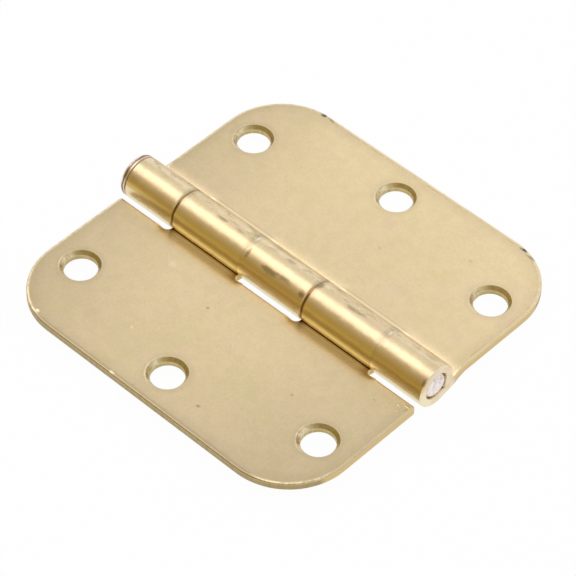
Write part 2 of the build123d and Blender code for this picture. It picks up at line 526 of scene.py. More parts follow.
@dataclass(frozen=True)
class SatinBrass:
    """Plating on rolled sheet: a pale satin brass with real sheared walls and a hazy, scratched barrel back,
    and painted highlights and painted shade at its rims, seams, holes, cut-outs and barrel.

    A share is how much of an effect is laid over the plating, and a tone is a factor on its colour.
    """

    name: str
    half_length: float
    holes: tuple[Point, ...]
    cut_outs: tuple[Span, ...]
    marks: tuple[Mark, ...]
    # Painted light: the tones at the head end, the tip end and the far edge, and the whole tone, are painted
    # shade and highlight; back_shine, lower_shine and the crevice's share set painted highlights, reflections
    # and shade on and beside the barrel; near_edge_light and near_edge_tone set the rim's painted highlight
    # and the painted shade at the -Y edge.
    head_end_tone: float
    tip_end_tone: float
    far_edge_tone: float
    back_shine: float
    whole_tone: float = 1.0
    crevice_painted_highlight: float = 0.0
    lower_shine: float = 0.9
    near_edge_light: float = 1.0
    near_edge_tone: float = 1.0
    cut_out_reach: float = CUT_OUT_REACH

    # Painted light among these colours: golden, lower_gold, under_gold, crevice_gold and end_cream are
    # painted reflections and shade on and beside the barrel; rim_cream, line_brown, seam_brown and side_gold
    # are painted highlights and painted shade at the rims, holes, cut-outs and seams; cream is both a painted
    # highlight and the scratches' colour, and haze both a painted highlight band and the back's hazy clouds.
    # The other colours are the plating's and the sheared walls' own.
    golden: Colour = (0.66, 0.46, 0.12)
    colour: Colour = (0.76, 0.6, 0.355)
    yellow: Colour = (0.742, 0.6, 0.338)
    pink: Colour = (0.75, 0.584, 0.36)
    cream: Colour = (0.96, 0.83, 0.58)
    rim_cream: Colour = (0.9, 0.76, 0.48)
    line_brown: Colour = (0.46, 0.31, 0.14)
    seam_brown: Colour = (0.28, 0.14, 0.035)
    lower_gold: Colour = (0.66, 0.54, 0.25)
    under_gold: Colour = (0.58, 0.385, 0.11)
    side_gold: Colour = (0.72, 0.54, 0.25)
    crevice_gold: Colour = (0.93, 0.82, 0.51)
    end_cream: Colour = (0.93, 0.81, 0.61)
    sheared: Colour = (0.46, 0.36, 0.155)
    sheared_light: Colour = (0.58, 0.455, 0.215)
    haze: Colour = (0.87, 0.715, 0.475)
    tan: Colour = (0.55, 0.41, 0.24)
    roughness: float = 0.34
    worn_roughness: float = 0.46
    unevenness: float = 0.00004

    # Zones, by the distance across from the pin's axis and by how far the surface faces up.
    barrel_edge: Span = (5.3 * MM, 6.2 * MM)
    back_from: Span = (0.2 * MM, 1.4 * MM)
    wall_slope: Span = (0.6, 0.3)
    wall_share: float = 0.75

    # Clouds of other tints, and the painted shade and highlight that change slowly over the leaf.
    hue_clouds: Scales = (55.0, 190.0)
    yellow_patches: Span = (0.5, 0.36)
    pink_patches: Span = (0.52, 0.66)
    fine_clouds: Scales = (420.0, 1500.0)
    fine_patches: Span = (0.36, 0.64)
    fine_tones: Span = (0.965, 1.035)
    toned_from: Span = (5.0 * MM, 9.0 * MM)
    head_end: Span = (-46.0 * MM, -14.0 * MM)
    tip_end: Span = (4.0 * MM, 46.0 * MM)
    far_edge: Span = (8.0 * MM, 46.0 * MM)

    # Screw holes, by the distance from a hole's middle. The step is the corner under the countersink.
    # The step gets a painted highlight. On the side towards the light, the wall and lip get painted
    # highlights and the groove gets a painted shade line.
    hole_step: Band = (-2.55 * MM, -2.1 * MM, 0.1 * MM)
    hole_step_share: float = 0.85
    hole_wall: Span = (COUNTERSINK_RADIUS + 0.05 * MM, COUNTERSINK_RADIUS - 0.1 * MM)
    hole_wall_share: float = 0.85
    halo: Span = (6.6 * MM, 4.7 * MM)
    halo_tone: float = 0.93
    groove: Band = (4.5 * MM, 4.64 * MM, 0.06 * MM)
    groove_share: float = 0.4
    lip: Band = (4.7 * MM, 5.0 * MM, 0.1 * MM)
    lip_share: float = 0.5
    lip_clouds: Scales = (450.0, 1000.0)
    lip_patches: Span = (0.36, 0.6)
    highlight_side: Point = (-0.83, -0.55, 0.0)
    highlight_from: Span = (0.4, 0.95)
    highlight_share: float = 0.9

    # Sheared walls and their upright streaks.
    streak_stretch: Point = (1.0, 1.0, 0.12)
    streak_noise: Noise = (1500.0, 2.0)
    streak_limits: Span = (0.3, 0.7)

    # The leaf's outline, by the distance inside it, and its nearest edge at -Y and side at +X.
    # Painted light: highlight and shade lines on the rim, shade inside it and at the -Y edge, shade and
    # highlight on the walls by height, and a lit +X wall.
    rim_clouds: Scales = (260.0, 1300.0)
    rim_brown: Band = (0.7 * MM, 1.05 * MM, 0.16 * MM)
    rim_brown_patches: Span = (0.42, 0.62)
    rim_brown_share: float = 0.4
    rim_light: Span = (0.85 * MM, 0.45 * MM)
    rim_light_patches: Span = (0.34, 0.56)
    rim_light_least: float = 0.2
    rim_light_share: float = 0.8
    rim_shade: Span = (4.0 * MM, 0.9 * MM)
    rim_shade_tone: float = 0.92
    near_edge: Span = (-43.1 * MM, -43.8 * MM)
    side_edge: Span = (43.2 * MM, 43.8 * MM)
    side_edge_light: float = 0.3
    side_gold_share: float = 0.9
    outer_wall: Span = (0.9 * MM, 0.5 * MM)
    outer_wall_heights: Span = (-1.95 * MM, -1.45 * MM)
    outer_wall_tones: Span = (0.86, 1.15)

    # The cut-outs' edges, by the distance beyond the edge: a painted highlight line, then a painted shade
    # line.
    cut_out_fade: float = 0.4 * MM
    cut_out_light: Band = (-0.24 * MM, 0.26 * MM, 0.1 * MM)
    cut_out_light_share: float = 0.65
    cut_out_brown: Band = (0.4 * MM, 0.68 * MM, 0.1 * MM)
    cut_out_brown_share: float = 0.3

    # The barrel's front, by height over the pin's axis, and its hazy and scratched back.
    # Golden painted reflections and shade lie low on the front, and a painted highlight band lies across the
    # back.
    front_from: Span = (-1.0 * MM, -3.0 * MM)
    golden_below: Span = (4.3 * MM, 2.8 * MM)
    golden_above: Span = (0.3 * MM, 1.2 * MM)
    golden_share: float = 0.8
    lower_below: Span = (1.9 * MM, 1.1 * MM)
    under_below: Span = (-0.1 * MM, -0.9 * MM)
    back_band: Band = (1.0 * MM, 2.4 * MM, 0.6 * MM)
    back_dulling: float = 0.8
    haze_stretch: Point = (0.4, 1.0, 1.0)
    haze_noise: Noise = (800.0, 3.0)
    haze_patches: Span = (0.5, 0.62)
    haze_share: float = 0.7
    tan_patches: Span = (0.48, 0.36)
    tan_share: float = 0.55
    scratch_noise: Noise = (1900.0, 2.0)
    scratch_patches: Span = (0.6, 0.68)
    scratch_share: float = 0.7

    # The seams between the knuckles: painted shade beside all, painted brown shade in two open ones, and a
    # painted glint on the rim beyond two tight ones.
    upper_from: Span = (-3.0 * MM, -1.5 * MM)
    open_seam_shift: float = 0.27 * MM
    open_seam: Span = (0.5 * MM, 0.26 * MM)
    open_seam_shares: Span = (0.95, 0.55)
    seam_shade: Span = (1.7 * MM, 0.4 * MM)
    seam_shade_tone: float = 0.82
    glint_shift: float = 0.3 * MM
    glint: Span = (0.5 * MM, 0.15 * MM)
    glint_across: Band = (0.4 * MM, 2.6 * MM, 0.8 * MM)
    glint_clouds: Scales = (500.0, 1300.0)
    glint_patches: Span = (0.42, 0.54)
    glint_share: float = 0.9

    # Painted highlights in the crevice where the barrel meets its leaf, and on the barrel's end faces.
    crevice_along: Band = (10.5 * MM, 29.0 * MM, 2.0 * MM)
    crevice_from: Span = (4.95 * MM, 5.1 * MM)
    crevice_below: Span = (-1.1 * MM, -1.27 * MM)
    crevice_to: Span = (8.4 * MM, 5.8 * MM)
    end_face: Span = (44.1 * MM, 44.3 * MM)
    end_face_share: float = 0.55

    # Unevenness: the dents' height off and on the barrel, and the grain's off and on its back.
    dent_noise: Noise = (380.0, 1.0)
    dent_heights: Span = (0.15, 1.9)
    grain_noise: Noise = (2600.0, 3.0)
    grain_heights: Span = (0.25, 0.5)

    def material(self, effects: Effects) -> bpy.types.Material:
        """Return the finish as a material.

        Args:
            effects: The shared node groups.

        Returns:
            The material.
        """
        skin = Skin(self.name, effects)
        graph = skin.graph
        zones = self.zones(skin)
        # The plating, with painted shade and highlight towards the leaf's ends and far edge.
        colour = graph.scaled(self.plating(skin), self.tone(skin, zones))
        # The screw holes' walls, with painted highlights and a painted shade line on the side towards the
        # light.
        colour = self.hole_walls_and_painted_light(skin, colour)
        walls = graph.math("MULTIPLY", zones.steep, self.wall_share)
        colour = graph.mix(walls, colour, self.sheared_colour(skin))
        # Painted highlights and shade at the rims, the cut-outs, the barrel and the seams, with the barrel
        # back's real hazy and scratched clouds.
        colour = self.rim_painted_light(skin, colour, zones)
        colour = self.cut_out_painted_lines(skin, colour, zones)
        colour = self.barrel_painted_light_and_haze(skin, colour, zones)
        colour = self.seam_painted_light(skin, colour, zones)
        # A painted highlight on the folded sheet in the crevice beside the knuckles.
        crevice = self.crevice(skin, zones)
        colour = graph.mix(crevice, colour, self.crevice_gold)
        # A painted highlight on the barrel's end faces.
        end_face = graph.ramp(graph.math("ABSOLUTE", skin.along), *self.end_face)
        end_face = graph.product(end_face, zones.barrel, self.end_face_share)
        colour = graph.mix(end_face, colour, self.end_cream)
        colour = skin.marked(colour, self.marks)

        back = graph.math("MULTIPLY", zones.back, self.back_dulling)
        worn = graph.math("MAXIMUM", graph.math("MAXIMUM", zones.steep, crevice), back)
        roughness = graph.blend(worn, self.roughness, self.worn_roughness)
        return skin.finish(colour, roughness, self.relief(skin, zones), self.unevenness)

    def zones(self, skin: Skin) -> Zones:
        """Return where the barrel, its back, the flat of the leaf and the sheet's walls are.

        Args:
            skin: The material in the making.

        Returns:
            The zones.
        """
        graph = skin.graph
        away = graph.math("ABSOLUTE", skin.across)
        flat = graph.ramp(away, *self.barrel_edge)
        barrel = graph.math("SUBTRACT", 1.0, flat)
        back = graph.product(barrel, graph.ramp(skin.across, *self.back_from))
        slope = graph.ramp(graph.math("ABSOLUTE", skin.facing_up), *self.wall_slope)
        steep = graph.math("MULTIPLY", slope, flat)
        top = graph.product(flat, graph.math("SUBTRACT", 1.0, steep))
        return Zones(away, barrel, back, steep, top)

    def plating(self, skin: Skin) -> Socket:
        """Return the plating's clouds of yellow and pink about its own colour.

        Args:
            skin: The material in the making.

        Returns:
            The colour.
        """
        graph = skin.graph
        hue = skin.clouds(*self.hue_clouds)
        fine = skin.clouds(*self.fine_clouds)
        colour = graph.mix(graph.ramp(hue, *self.yellow_patches), self.colour, self.yellow)
        colour = graph.mix(graph.ramp(hue, *self.pink_patches), colour, self.pink)
        return graph.scaled(colour, graph.ramp(fine, *self.fine_patches, *self.fine_tones))

    def tone(self, skin: Skin, zones: Zones) -> Socket:
        """Return the painted shade and highlight that darken or lighten the plating towards the leaf's ends
        and its far edge.

        Args:
            skin: The material in the making.
            zones: Where the parts of the leaf are.

        Returns:
            The factor, which is 1 on the barrel.
        """
        graph = skin.graph
        on_leaf = graph.ramp(zones.away, *self.toned_from)
        head_end = graph.ramp(skin.along, *self.head_end, self.head_end_tone, 1.0)
        tip_end = graph.ramp(skin.along, *self.tip_end, 1.0, self.tip_end_tone)
        far_edge = graph.ramp(zones.away, *self.far_edge, 1.0, self.far_edge_tone)
        whole = graph.product(head_end, tip_end, far_edge, self.whole_tone)
        change = graph.math("MULTIPLY", graph.math("SUBTRACT", whole, 1.0), on_leaf)
        return graph.math("ADD", change, 1.0)

    def hole_walls_and_painted_light(self, skin: Skin, colour: Socket) -> Socket:
        """Lay the screw holes' walls, with a painted highlight on their step, painted highlights on the walls
        and lips and a painted shade line at the grooves on the side towards the light, and the darker halos,
        over a colour.

        Args:
            skin: The material in the making.
            colour: The colour so far.

        Returns:
            The colour with the holes' walls, painted light and halos.
        """
        graph = skin.graph
        flat_place = graph.vector("MULTIPLY", skin.place, (1.0, 1.0, 0.0))
        # A painted highlight on the step under the countersink.
        step = graph.product(graph.band(skin.height, *self.hole_step), self.hole_step_share)
        wall_colour = graph.mix(step, self.sheared_colour(skin), self.rim_cream)
        shine = graph.ramp(skin.clouds(*self.lip_clouds), *self.lip_patches)
        for hole in self.holes:
            distance = graph.measure("DISTANCE", flat_place, hole)
            side = graph.vector("NORMALIZE", graph.vector("SUBTRACT", flat_place, hole), hole)
            # The side towards the light gets painted highlights on the wall and lip and a painted shade line
            # at the groove.
            lit = graph.ramp(graph.measure("DOT_PRODUCT", side, self.highlight_side), *self.highlight_from)
            wall = graph.ramp(distance, *self.hole_wall)
            groove = graph.band(distance, *self.groove)
            lip = graph.band(distance, *self.lip)
            colour = graph.scaled(colour, graph.blend(graph.ramp(distance, *self.halo), 1.0, self.halo_tone))
            colour = graph.mix(graph.product(wall, self.hole_wall_share), colour, wall_colour)
            colour = graph.mix(graph.product(wall, lit, shine, self.highlight_share), colour, self.cream)
            colour = graph.mix(graph.product(groove, lit, self.groove_share), colour, self.line_brown)
            colour = graph.mix(graph.product(lip, lit, shine, self.lip_share), colour, self.cream)
        return colour

    def sheared_colour(self, skin: Skin) -> Socket:
        """Return the colour of sheared walls, with upright streaks.

        Args:
            skin: The material in the making.

        Returns:
            The colour.
        """
        graph = skin.graph
        upright = graph.vector("MULTIPLY", skin.place, self.streak_stretch)
        streaks = graph.ramp(graph.noise(upright, *self.streak_noise), *self.streak_limits)
        return graph.mix(streaks, self.sheared, self.sheared_light)

    def rim_painted_light(self, skin: Skin, colour: Socket, zones: Zones) -> Socket:
        """Lay painted highlight and painted shade lines along the leaf's rim, painted shade inside the rim
        and at the -Y edge, and the walls' painted shade and highlight by height and lighter painted +X side,
        over a colour.

        Args:
            skin: The material in the making.
            colour: The colour so far.
            zones: Where the parts of the leaf are.

        Returns:
            The colour with the rim's wear.
        """
        graph = skin.graph
        # Painted highlight and painted shade lines along the rim, painted shade inside it and at the -Y edge,
        # and painted tones on the walls.
        inside = skin.effect(
            skin.effects.rim, Half_Length=self.half_length, Reach=LEAF_REACH, Corner=LEAF_CORNER
        )
        broken = skin.clouds(*self.rim_clouds)
        brown_patches = graph.ramp(broken, *self.rim_brown_patches)
        brown = graph.product(graph.band(inside, *self.rim_brown), brown_patches, zones.top)
        light_patches = graph.ramp(broken, *self.rim_light_patches, self.rim_light_least, 1.0)
        light = graph.product(graph.ramp(inside, *self.rim_light), light_patches, zones.top)
        near = graph.ramp(skin.across, *self.near_edge)
        side = graph.ramp(skin.along, *self.side_edge)
        lit = graph.product(
            graph.blend(near, 1.0, self.near_edge_light), graph.blend(side, 1.0, self.side_edge_light)
        )
        colour = graph.scaled(colour, graph.ramp(inside, *self.rim_shade, 1.0, self.rim_shade_tone))
        colour = graph.mix(graph.product(brown, lit, self.rim_brown_share), colour, self.line_brown)
        colour = graph.mix(graph.product(light, lit, self.rim_light_share), colour, self.rim_cream)
        near_edge_shade = graph.product(near, zones.top)
        colour = graph.scaled(colour, graph.blend(near_edge_shade, 1.0, self.near_edge_tone))
        outer = graph.product(zones.steep, graph.ramp(inside, *self.outer_wall))
        wall_tone = graph.ramp(skin.height, *self.outer_wall_heights, *self.outer_wall_tones)
        colour = graph.mix(outer, colour, graph.scaled(colour, wall_tone))
        return graph.mix(graph.product(side, outer, self.side_gold_share), colour, self.side_gold)

    def cut_out_painted_lines(self, skin: Skin, colour: Socket, zones: Zones) -> Socket:
        """Lay a painted highlight line and a painted shade line along the cut-outs' edges over a colour.

        Args:
            skin: The material in the making.
            colour: The colour so far.
            zones: Where the parts of the leaf are.

        Returns:
            The colour with the cut-outs' painted lines.
        """
        graph = skin.graph
        # A painted highlight line on each cut-out's edge and a painted shade line beyond it.
        edge = graph.math("SUBTRACT", zones.away, self.cut_out_reach)
        for start, end in self.cut_outs:
            beside = graph.product(graph.band(skin.along, start, end, self.cut_out_fade), zones.top)
            brown = graph.product(graph.band(edge, *self.cut_out_brown), beside, self.cut_out_brown_share)
            light = graph.product(graph.band(edge, *self.cut_out_light), beside, self.cut_out_light_share)
            colour = graph.mix(brown, colour, self.line_brown)
            colour = graph.mix(light, colour, self.rim_cream)
        return colour

    def barrel_painted_light_and_haze(self, skin: Skin, colour: Socket, zones: Zones) -> Socket:
        """Lay the barrel's golden painted reflections and shade low on its front, a painted highlight band on
        its back, and its back's hazy and scratched clouds over a colour.

        Args:
            skin: The material in the making.
            colour: The colour so far.
            zones: Where the parts of the leaf are.

        Returns:
            The colour with the barrel's painted light and its haze.
        """
        graph = skin.graph
        # Golden painted reflections and shade low on the front, and a painted highlight band across the back.
        front = graph.product(zones.barrel, graph.ramp(skin.across, *self.front_from))
        below = graph.product(front, graph.ramp(skin.height, *self.golden_below))
        golden = graph.product(below, graph.ramp(skin.height, *self.golden_above), self.golden_share)
        colour = graph.mix(golden, colour, self.golden)
        lower = graph.product(front, graph.ramp(skin.height, *self.lower_below), self.lower_shine)
        colour = graph.mix(lower, colour, self.lower_gold)
        under = graph.product(front, graph.ramp(skin.height, *self.under_below), self.lower_shine)
        colour = graph.mix(under, colour, self.under_gold)
        shine = graph.product(graph.band(skin.across, *self.back_band), zones.barrel, self.back_shine)
        colour = graph.mix(shine, colour, self.haze)

        drawn_out = graph.vector("MULTIPLY", skin.place, self.haze_stretch)
        clouds = graph.noise(drawn_out, *self.haze_noise)
        scratches = graph.noise(drawn_out, *self.scratch_noise)
        layers = (
            (clouds, self.haze_patches, self.haze_share, self.haze),
            (clouds, self.tan_patches, self.tan_share, self.tan),
            (scratches, self.scratch_patches, self.scratch_share, self.cream),
        )
        for pattern, limits, share, tint in layers:
            colour = graph.mix(graph.product(zones.back, graph.ramp(pattern, *limits), share), colour, tint)
        return colour

    def seam_painted_light(self, skin: Skin, colour: Socket, zones: Zones) -> Socket:
        """Lay the painted shade, the painted glints and the painted brown shade of the knuckles' seams over a
        colour.

        Args:
            skin: The material in the making.
            colour: The colour so far.
            zones: Where the parts of the leaf are.

        Returns:
            The colour with the seams' painted light and shade.
        """
        graph = skin.graph
        # Painted shade beside the seams, a painted glint beyond the tight ones and painted brown shade in the
        # open ones.
        upper = graph.ramp(skin.across, *self.upper_from)
        broken = graph.ramp(skin.clouds(*self.glint_clouds), *self.glint_patches)
        open_seam = graph.nearest(
            skin.along, -OUTER_SEAM + self.open_seam_shift, INNER_SEAM + self.open_seam_shift
        )
        tight_seam = graph.nearest(skin.along, -INNER_SEAM, OUTER_SEAM)
        beyond = graph.nearest(skin.along, -INNER_SEAM + self.glint_shift, OUTER_SEAM + self.glint_shift)
        nearby = graph.ramp(graph.math("MINIMUM", open_seam, tight_seam), *self.seam_shade)
        shaded = graph.product(nearby, zones.barrel, upper)
        colour = graph.scaled(colour, graph.blend(shaded, 1.0, self.seam_shade_tone))
        behind = graph.band(skin.across, *self.glint_across)
        glint = graph.product(graph.ramp(beyond, *self.glint), behind, broken, zones.barrel)
        colour = graph.mix(graph.product(glint, self.glint_share), colour, self.cream)
        dark = graph.product(graph.ramp(open_seam, *self.open_seam), zones.barrel)
        dark = graph.product(dark, graph.blend(upper, *self.open_seam_shares))
        return graph.mix(dark, colour, self.seam_brown)

    def crevice(self, skin: Skin, zones: Zones) -> Socket:
        """Return where the crevice between the barrel and its leaf gets a painted highlight.

        Args:
            skin: The material in the making.
            zones: Where the parts of the leaf are.

        Returns:
            The mask, which is 0 all over where the finish has no painted highlight there.
        """
        graph = skin.graph
        # The painted highlight lies on the folded sheet beside the knuckles, off its walls.
        beside = graph.band(graph.math("ABSOLUTE", skin.along), *self.crevice_along)
        sheet = graph.product(
            graph.ramp(zones.away, *self.crevice_from), graph.ramp(skin.height, *self.crevice_below)
        )
        folded = graph.product(sheet, graph.ramp(zones.away, *self.crevice_to))
        return graph.product(folded, beside, graph.math("SUBTRACT", 1.0, zones.steep), self.crevice_painted_highlight)

    def relief(self, skin: Skin, zones: Zones) -> Socket:
        """Return the height of the surface's shallow dents and fine grain.

        Args:
            skin: The material in the making.
            zones: Where the parts of the leaf are.

        Returns:
            The height, in metres over the depth of the unevenness.
        """
        graph = skin.graph
        dents = graph.noise(skin.place, *self.dent_noise)
        grain = graph.noise(skin.place, *self.grain_noise)
        return graph.math(
            "ADD",
            graph.product(dents, graph.blend(zones.barrel, *self.dent_heights)),
            graph.product(grain, graph.blend(zones.back, *self.grain_heights)),
        )


@dataclass(frozen=True)
class PinSteel:
    """A steel pin: a head with grey-white and brown bands of plating, bare rough metal on the cut tip."""

    name: str
    outer: Colour = (0.86, 0.81, 0.76)
    band: Colour = (0.3, 0.19, 0.14)
    lip: Colour = (0.72, 0.6, 0.45)
    bare: Colour = (0.93, 0.86, 0.83)
    pits: Colour = (0.68, 0.6, 0.58)
    roughness: float = 0.36
    bare_roughness: float = 0.5
    unevenness: float = 0.00009
    clouds: Scales = (550.0, 1300.0)

    # The head's bands, by the distance inward from its outer face, and how far their edges wander.
    head_end: float = -46.3 * MM
    band_from: Span = (0.6 * MM, 0.85 * MM)
    lip_from: Span = (1.15 * MM, 1.35 * MM)
    wander: float = 0.8 * MM

    # The tip, by the place along the barrel.
    bare_from: Span = (43.1 * MM, 43.4 * MM)
    pit_patches: Span = (0.38, 0.55)
    heights: Span = (0.15, 1.0)

    def material(self, effects: Effects) -> bpy.types.Material:
        """Return the finish as a material.

        Args:
            effects: The shared node groups.

        Returns:
            The material.
        """
        skin = Skin(self.name, effects)
        graph = skin.graph
        tip = graph.ramp(skin.along, *self.bare_from)
        clouds = skin.clouds(*self.clouds)
        inward = graph.math("SUBTRACT", skin.along, self.head_end)
        uneven = graph.math("SUBTRACT", clouds, 0.5)
        worn = graph.math("ADD", inward, graph.math("MULTIPLY", uneven, self.wander))
        colour = graph.mix(graph.ramp(worn, *self.band_from), self.outer, self.band)
        colour = graph.mix(graph.ramp(worn, *self.lip_from), colour, self.lip)
        bare = graph.mix(graph.ramp(clouds, *self.pit_patches), self.pits, self.bare)
        colour = graph.mix(tip, colour, bare)
        roughness = graph.blend(tip, self.roughness, self.bare_roughness)
        height = graph.math("MULTIPLY", clouds, graph.blend(tip, *self.heights))
        return skin.finish(colour, roughness, height, self.unevenness)


def on_barrel(along: float, round_from_top: float) -> Point:
    """Return a point of the barrel's surface, seen from the barrel's middle.

    Args:
        along: The distance along X, in millimetres.
        round_from_top: The angle in degrees from the top towards -Y.

    Returns:
        The point, in metres.
    """
    angle = math.radians(round_from_top)
    return (along * MM, -BARREL_RADIUS * math.sin(angle), BARREL_RADIUS * math.cos(angle))


def on_leaf(along: float, across: float) -> Point:
    """Return a point of the leaves' top in metres, from millimetres along and across the barrel's middle."""
    return (along * MM, across * MM, LEAF_TOP - AXIS_HEIGHT)


def reach(along: float, across: float, through: float = 0.8) -> Point:
    """Return a mark's half sizes in metres from millimetres."""
    return (along * MM, across * MM, through * MM)


def dress(piece: bpy.types.Object, material: bpy.types.Material) -> None:
    """Put one material on every face of a piece.

    Args:
        piece: The object that is dressed.
        material: Its only material.
    """
    if not piece.material_slots:
        piece.data.materials.append(material)
    for slot in piece.material_slots:
        slot.material = material


def add_object(name: str, shape: bmesh.types.BMesh, material: bpy.types.Material) -> bpy.types.Object:
    """Turn a finished shape into an object of the scene.

    Args:
        name: The object's name.
        shape: Its shape, which is used up.
        material: The material of all its faces.

    Returns:
        The object.
    """
    mesh = bpy.data.meshes.new(name)
    shape.to_mesh(mesh)
    shape.free()
    added = bpy.data.objects.new(name, mesh)
    bpy.context.scene.collection.objects.link(added)
    dress(added, material)
    return added


def leaf_holes(near: Pair, far: float) -> tuple[Point, ...]:
    """Return the middles of a leaf's three screw holes.

    Args:
        near: How far the two holes beside the barrel's ends lie along and across.
        far: How far across the middle hole lies.

    Returns:
        The middles, seen from the barrel's middle.
    """
    along, across = near
    return ((-along, across, 0.0), (along, across, 0.0), (0.0, far, 0.0))


def add_ring(name: str, sections: tuple[Section, ...], material: bpy.types.Material) -> bpy.types.Object:
    """Turn one or more sections about the pin's axis, as one piece.

    Args:
        name: The piece's name.
        sections: The closed sections that are turned.
        material: The piece's material.

    Returns:
        The piece.
    """
    middle = Vector((BARREL_MIDDLE, 0.0, AXIS_HEIGHT))
    shape = bmesh.new()
    for section in sections:
        corners = [shape.verts.new(middle + Vector((along, 0.0, out)) * MM) for along, out in section]
        edges = [shape.edges.new(pair) for pair in zip(corners, corners[1:] + corners[:1])]
        bmesh.ops.spin(
            shape,
            geom=corners + edges,
            cent=middle,
            axis=(1.0, 0.0, 0.0),
            angle=math.tau,
            steps=RING_STEPS,
            use_merge=True,
        )
    bmesh.ops.recalc_face_normals(shape, faces=shape.faces)
    piece = add_object(name, shape, material)
    piece.data.shade_smooth()
    piece.data.set_sharp_from_angle(angle=math.radians(RING_SHARP_DEGREES))
    return piece


@dataclass
class ThreeKnuckleLeaf:
    """The leaf at +Y, with the barrel's two end knuckles and its middle one.

    Its rims are rings that fill its chamfers at the two tight seams.
    """

    nodes: dict[str, bpy.types.Object]
    effects: Effects
    half_length: float = 44.2 * MM
    near_holes: Pair = (35.8 * MM, 27.2 * MM)
    far_hole: float = 36.0 * MM
    cut_outs: tuple[Span, ...] = ((-29.9 * MM, -9.5 * MM), (9.5 * MM, 29.9 * MM))
    cut_out_reach: float = 7.5 * MM
    smudge: Colour = (0.3, 0.21, 0.11)
    chip: Colour = (0.07, 0.06, 0.07)
    speck: Colour = (0.34, 0.27, 0.16)
    rims: tuple[Section, ...] = (
        ((-9.35, 5.225), (-9.06, 5.225), (-9.35, 4.95)),
        ((30.05, 5.225), (30.34, 5.225), (30.05, 4.95)),
    )

    def marks(self) -> tuple[Mark, ...]:
        """Return the leaf's smudges, chips and specks in their places.

        Returns:
            The marks, the lowest first.
        """
        return (
            Mark(on_barrel(-1.2, 39.0), reach(2.6, 0.9), self.smudge, 0.7),
            Mark(on_barrel(2.6, 35.0), reach(2.2, 0.6), self.smudge, 0.65),
            Mark(on_barrel(0.9, -14.0), reach(2.0, 0.6), self.smudge, 0.45),
            Mark(on_barrel(8.2, 41.0), reach(0.9, 1.0), self.smudge, 0.75),
            Mark(on_barrel(-8.3, 33.0), reach(0.5, 1.4, 1.4), self.smudge, 0.7),
            Mark(on_barrel(43.9, 43.0), reach(0.5, 0.9, 0.9), self.smudge, 0.65),
            Mark(on_barrel(-37.0, -8.0), reach(3.0, 0.5), self.smudge, 0.25),
            Mark(on_leaf(-29.5, 43.8), reach(0.95, 0.5), self.chip, 0.9),
            Mark(on_leaf(-27.2, 43.8), reach(1.6, 0.35), self.speck, 0.8),
            Mark(on_leaf(31.2, 43.7), reach(1.1, 0.5), self.chip, 0.9),
            Mark(on_leaf(34.0, 42.9), reach(1.8, 0.4), self.speck, 0.7),
            Mark(on_leaf(8.0, 22.0), reach(0.5, 0.35), self.speck, 0.25),
            Mark(on_leaf(25.0, 33.0), reach(0.6, 0.35), self.speck, 0.25),
        )

    def dress(self) -> list[str]:
        """Give the leaf its plating and its knuckles' rims.

        Returns:
            The names of the dressed node and of the rims.
        """
        finish = SatinBrass(
            name="three_knuckle_leaf_plating",
            half_length=self.half_length,
            holes=leaf_holes(self.near_holes, self.far_hole),
            cut_outs=self.cut_outs,
            cut_out_reach=self.cut_out_reach,
            marks=self.marks(),
            # Painted shade and highlight towards the ends and far edge, a painted highlight band on the
            # barrel's back, and light painted reflections low on its front.
            head_end_tone=0.83,
            tip_end_tone=1.03,
            far_edge_tone=1.09,
            back_shine=0.85,
            lower_gold=(0.87, 0.75, 0.47),
            under_gold=(0.88, 0.77, 0.5),
        )
        material = finish.material(self.effects)
        dress(self.nodes[Node.LEAF_THREE.value], material)
        rims = add_ring("three_knuckle_rims", self.rims, material)
        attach(rims, Node.LEAF_THREE.value)
        return [Node.LEAF_THREE.value, rims.name]


